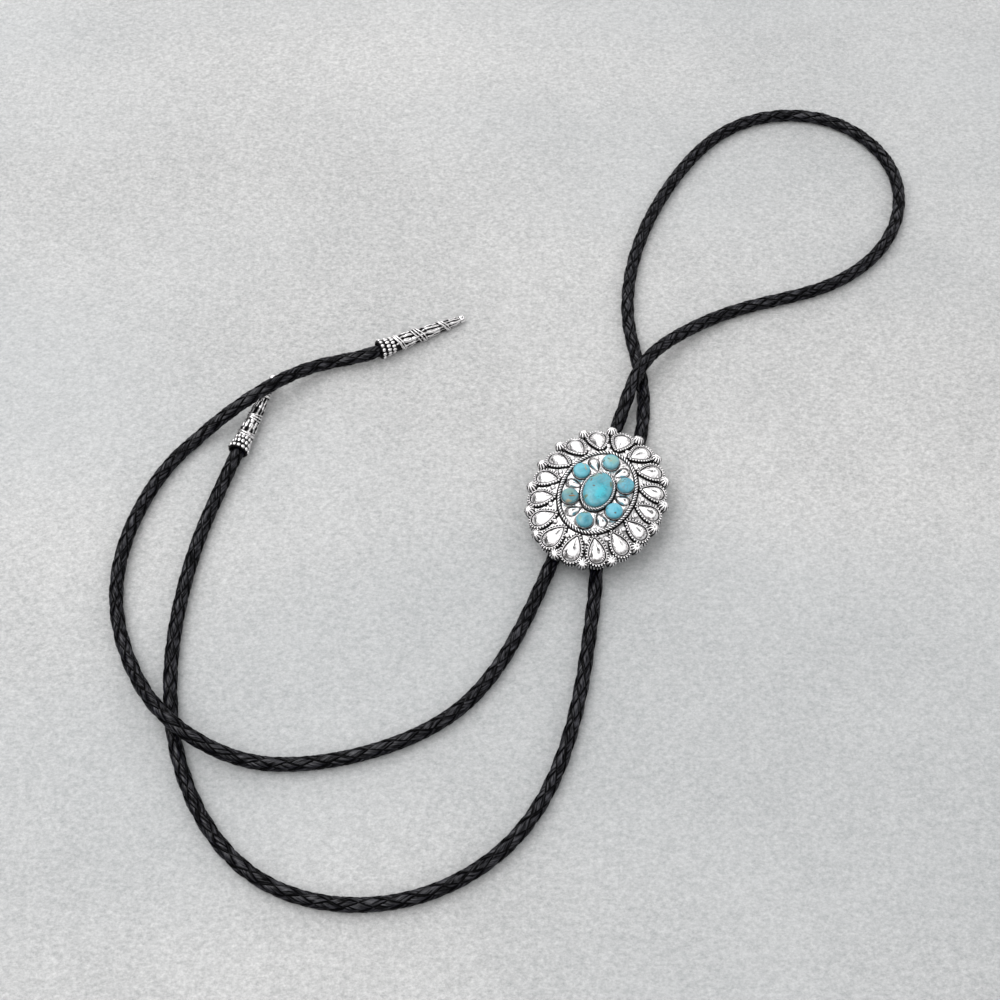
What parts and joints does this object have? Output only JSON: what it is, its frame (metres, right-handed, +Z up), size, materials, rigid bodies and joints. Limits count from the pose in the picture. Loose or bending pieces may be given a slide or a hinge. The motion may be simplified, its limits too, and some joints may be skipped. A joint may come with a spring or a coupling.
{
  "type": "bolo tie",
  "caption": "Bolo tie: a braided leather cord running through a domed oval slide set with turquoise, with a tapered cast tip on each end, lying loose on a surface.",
  "frame": {"origin": "middle of the slide back's flat underside, on the surface the tie lies on", "axes": "+Z up out of the slide's face, +Y along the slide's long axis towards the neck loop, +X to the right as the face is seen with the loop at the top"},
  "size_m": [0.1759, 0.3168, 0.0128],
  "materials": {
    "silver": "polished silver-coloured casting with dark oxidised recesses",
    "turquoise": "polished opaque blue-green stone with brown veins",
    "back": "plain satin metal",
    "leather": "black round-braided leather with a soft sheen"
  },
  "bodies": {
    "root": {"concho": "silver", "centre_stone": "turquoise", "round_stone_1": "turquoise", "round_stone_2": "turquoise", "round_stone_3": "turquoise", "round_stone_4": "turquoise", "round_stone_5": "turquoise", "round_stone_6": "turquoise", "slide_back": "back", "cord": "leather", "tip_upper": "silver", "tip_lower": "silver"}
  },
  "joints": []
}
